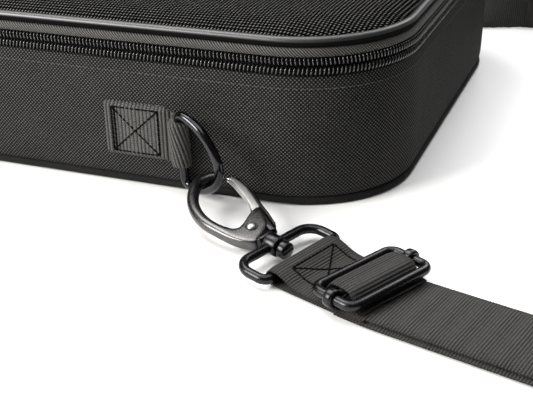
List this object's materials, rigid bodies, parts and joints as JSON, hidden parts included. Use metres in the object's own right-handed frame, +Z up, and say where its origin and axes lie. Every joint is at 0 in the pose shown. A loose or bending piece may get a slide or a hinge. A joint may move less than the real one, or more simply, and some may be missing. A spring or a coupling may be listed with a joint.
{
  "type": "padded gear case",
  "caption": "Padded zip case with a mesh-topped lid and inner dividers, and a detachable webbing shoulder strap on D-rings with swivel trigger snap hooks.",
  "frame": {"origin": "middle of the case's flat underside, on the surface it stands on", "axes": "+X along the front face to the right, -Y out of the front face, +Z up through the lid"},
  "size_m": [0.6898, 0.4614, 0.087],
  "materials": {
    "body_fabric": "basket-weave polyester, matt",
    "base_fabric": "coated polyester, matt",
    "piping": "smooth vinyl piping, satin",
    "stiffener": "moulded board",
    "foam": "closed-cell foam",
    "lining": "brushed loop lining",
    "pocket_mesh": "fine mesh",
    "zip_tape": "herringbone twill",
    "zip_coil": "nylon coil",
    "lid_mesh": "open spacer mesh",
    "black_metal": "black satin plating",
    "ring_metal": "gloss black plating",
    "hook_metal": "satin gunmetal plating",
    "gate_metal": "satin grey plating",
    "spring_steel": "bright wire",
    "webbing": "ribbed webbing",
    "pad_fabric": "padded basket weave"
  },
  "bodies": {
    "case_base": {"wall_fabric": "body_fabric", "bottom_panel": "base_fabric", "bottom_binding": "piping", "bottom_board": "stiffener", "base_foam": "foam", "base_lining": "lining", "divider_left": "lining", "divider_right": "lining", "lower_zip_tape": "zip_tape", "lower_zip_coil": "zip_coil", "hinge_fabric": "body_fabric", "tab_left": "webbing", "tab_right": "webbing", "strap_end_left": "webbing", "strap_end_right": "webbing", "strap_run_left": "webbing", "strap_run_right": "webbing", "strap_side_left": "webbing", "strap_side_right": "webbing", "strap_back": "webbing"},
    "lid": {"lid_mesh": "lid_mesh", "lid_foam": "foam", "lid_board": "stiffener", "lid_lining": "lining", "lid_pocket": "pocket_mesh", "lid_band": "zip_tape", "lid_piping": "piping", "upper_zip_tape": "zip_tape", "upper_zip_coil": "zip_coil"},
    "zip_slider_left": {"zip_slider_left": "black_metal"},
    "zip_slider_right": {"zip_slider_right": "black_metal"},
    "zip_pull_left": {"zip_pull_left": "black_metal"},
    "zip_pull_right": {"zip_pull_right": "black_metal"},
    "dring_left": {"dring_left": "ring_metal"},
    "dring_right": {"dring_right": "ring_metal"},
    "loop_left": {"swivel_loop_left": "black_metal"},
    "loop_right": {"swivel_loop_right": "black_metal"},
    "hook_left": {"hook_body_left": "hook_metal", "hook_pin_left": "hook_metal", "gate_rivet_left": "gate_metal", "gate_spring_left": "spring_steel"},
    "hook_right": {"hook_body_right": "hook_metal", "hook_pin_right": "hook_metal", "gate_rivet_right": "gate_metal", "gate_spring_right": "spring_steel"},
    "gate_left": {"hook_gate_left": "gate_metal"},
    "gate_right": {"hook_gate_right": "gate_metal"},
    "adjuster": {"adjuster_frame": "black_metal", "adjuster_bar": "black_metal", "adjuster_webbing": "webbing"},
    "shoulder_pad": {"shoulder_pad": "pad_fabric"}
  },
  "joints": [
    {"name": "lid_hinge", "type": "hinge", "parent": "case_base", "child": "lid", "pos_m": [0, 0.141, 0.069], "axis": [-1, 0, 0], "range_deg": [0, 105], "deforming": ["hinge_fabric"]},
    {"name": "zip_slide_right", "type": "slide", "parent": "case_base", "child": "zip_slider_right", "axis": [1, 0, 0], "range_m": [0, 0.168]},
    {"name": "zip_slide_left", "type": "slide", "parent": "case_base", "child": "zip_slider_left", "axis": [-1, 0, 0], "range_m": [0, 0.08]},
    {"name": "zip_pull_right_hinge", "type": "hinge", "parent": "zip_slider_right", "child": "zip_pull_right", "pos_m": [-0.036, -0.1442, 0.069], "axis": [0, 0, -1], "range_deg": [0, 150]},
    {"name": "zip_pull_left_hinge", "type": "hinge", "parent": "zip_slider_left", "child": "zip_pull_left", "pos_m": [-0.054, -0.1442, 0.069], "axis": [0, 0, 1], "range_deg": [0, 150]},
    {"name": "dring_hinge_right", "type": "hinge", "parent": "case_base", "child": "dring_right", "pos_m": [0.102, -0.146, 0.0248], "axis": [0.0347, -0.1621, 0.9862], "range_deg": [-3, 3]},
    {"name": "loop_hinge_right", "type": "hinge", "parent": "case_base", "child": "loop_right", "pos_m": [0.1804, -0.1939, 0.0042], "axis": [0.3584, 0.9336, 0], "range_deg": [0, 10]},
    {"name": "hook_swivel_right", "type": "hinge", "parent": "loop_right", "child": "hook_right", "pos_m": [0.16487, -0.18794, 0.00566], "axis": [0.93, -0.357, -0.0872], "range_deg": [0, 12]},
    {"name": "gate_pivot_right", "type": "hinge", "parent": "hook_right", "child": "gate_right", "pos_m": [0.15236, -0.18219, 0.00701], "axis": [0.0179, -0.1929, 0.9811], "range_deg": [0, 5], "stiffness_Nm_per_rad": 0.02, "springref_deg": -28.65},
    {"name": "dring_hinge_left", "type": "hinge", "parent": "case_base", "child": "dring_left", "pos_m": [-0.102, -0.146, 0.0248], "axis": [0.0347, 0.1621, -0.9862], "range_deg": [-3, 3]},
    {"name": "loop_hinge_left", "type": "hinge", "parent": "case_base", "child": "loop_left", "pos_m": [-0.1804, -0.1939, 0.0042], "axis": [0.3584, -0.9336, 0], "range_deg": [0, 10]},
    {"name": "hook_swivel_left", "type": "hinge", "parent": "loop_left", "child": "hook_left", "pos_m": [-0.16487, -0.18794, 0.00566], "axis": [0.93, 0.357, 0.0872], "range_deg": [0, 12]},
    {"name": "gate_pivot_left", "type": "hinge", "parent": "hook_left", "child": "gate_left", "pos_m": [-0.15236, -0.18219, 0.00701], "axis": [0.0179, 0.1929, -0.9811], "range_deg": [0, 5], "stiffness_Nm_per_rad": 0.02, "springref_deg": -28.65},
    {"name": "adjuster_slide", "type": "slide", "parent": "case_base", "child": "adjuster", "axis": [0.9703, -0.2419, 0], "range_m": [0, 0.045]},
    {"name": "shoulder_pad_slide", "type": "slide", "parent": "case_base", "child": "shoulder_pad", "axis": [1, 0, 0], "range_m": [-0.04, 0.04]}
  ]
}
